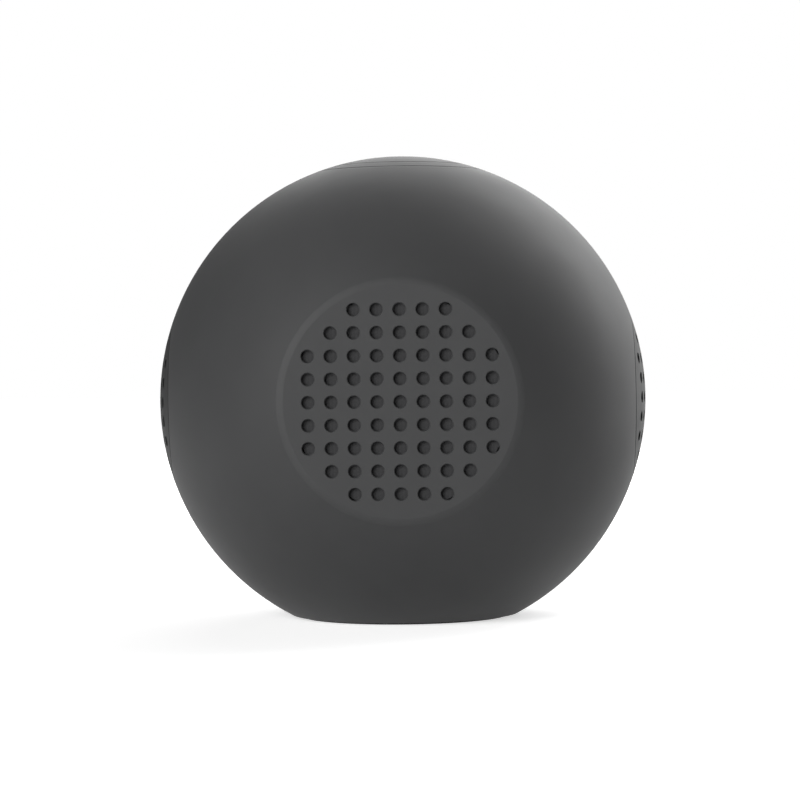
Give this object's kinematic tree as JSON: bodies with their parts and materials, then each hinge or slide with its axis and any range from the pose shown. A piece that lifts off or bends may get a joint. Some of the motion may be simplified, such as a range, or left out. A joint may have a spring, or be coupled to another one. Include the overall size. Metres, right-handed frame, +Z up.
{
  "type": "mini security camera",
  "caption": "Ball-shaped mini security camera on a cut flat, with a lens window in front, a perforated speaker flat behind, perforated side caps and a push button on top.",
  "frame": {"origin": "under the middle of the ball, on the surface that the rubber foot stands on", "axes": "+Z up; the lens looks along -Y; the perforated speaker flat faces +Y"},
  "size_m": [0.068, 0.0611, 0.0644],
  "materials": {
    "shell_plastic": "soft-touch satin, dark grey",
    "cap_plastic": "soft-touch satin, dark grey",
    "window_acrylic": "polished, near black",
    "bezel_metal": "anodised, dark grey",
    "lens_glass": "coated glass",
    "filter_glass": "coated glass",
    "black_plastic": "matte black",
    "barrel_metal": "black anodised",
    "rubber": "matte",
    "foam": "open foam and woven mesh, black",
    "steel": "bare steel",
    "magnet": "nickel plated",
    "paper_cone": "pressed paper, dark",
    "copper_coil": "enamelled copper wire",
    "brass": "machined",
    "board_green": "solder mask",
    "chip": "moulded chip",
    "lamp": "smoked clear resin",
    "battery_foil": "laminated foil pouch"
  },
  "bodies": {
    "camera": {"rear_shell": "shell_plastic", "front_shell": "shell_plastic", "left_side_cap": "cap_plastic", "right_side_cap": "cap_plastic", "top_ring": "cap_plastic", "base_plate": "black_plastic", "base_foot": "rubber", "base_screws": "steel", "tripod_insert": "brass", "front_window": "window_acrylic", "lens_bezel": "bezel_metal", "front_lens": "lens_glass", "lens_gasket": "rubber", "lens_barrel": "barrel_metal", "lens_elements": "lens_glass", "lens_lock_ring": "barrel_metal", "lens_holder": "black_plastic", "filter_coil": "copper_coil", "image_sensor": "chip", "infrared_board": "board_green", "infrared_leds": "lamp", "light_sensor": "lamp", "status_led": "lamp", "main_board": "board_green", "processor": "chip", "shield_can": "steel", "card_socket": "steel", "board_screws": "steel", "chassis": "black_plastic", "battery_cell": "battery_foil", "port_board": "board_green", "charge_socket": "steel", "reset_switch": "chip", "power_switch": "steel", "button_board": "board_green", "top_switch": "chip", "rear_mesh": "foam", "speaker_gasket": "foam", "speaker_frame": "steel", "speaker_surround": "rubber", "speaker_magnet": "magnet", "speaker_yoke": "steel", "pole_plate": "steel", "speaker_clamp": "black_plastic", "clamp_screws": "steel", "side_meshes": "foam", "siren": "black_plastic", "siren_gasket": "foam", "microphone": "steel", "microphone_boot": "rubber", "microphone_board": "board_green"},
    "top_button": {"top_button": "cap_plastic", "top_plunger": "black_plastic"},
    "reset_button": {"reset_button": "black_plastic"},
    "power_slider": {"power_slider": "black_plastic"},
    "day_filter": {"filter_slider": "black_plastic", "filter_panes": "filter_glass"},
    "cone": {"speaker_cone": "paper_cone", "voice_coil": "copper_coil"}
  },
  "joints": [
    {"name": "top_button_press", "type": "slide", "parent": "camera", "child": "top_button", "axis": [0, 0, -1], "range_m": [0, 0.0006], "stiffness_N_per_m": 1500, "springref_m": -0.0008},
    {"name": "reset_press", "type": "slide", "parent": "camera", "child": "reset_button", "axis": [0, 0, 1], "range_m": [0, 0.0004], "stiffness_N_per_m": 1500, "springref_m": -0.0008},
    {"name": "power_slide", "type": "slide", "parent": "camera", "child": "power_slider", "axis": [0, 1, 0], "range_m": [0, 0.002]},
    {"name": "filter_slide", "type": "slide", "parent": "camera", "child": "day_filter", "axis": [1, 0, 0], "range_m": [0, 0.0062]},
    {"name": "cone_travel", "type": "slide", "parent": "camera", "child": "cone", "axis": [0, 1, 0], "range_m": [-0.0004, 0.0004], "stiffness_N_per_m": 800, "deforming": ["speaker_surround"]}
  ]
}
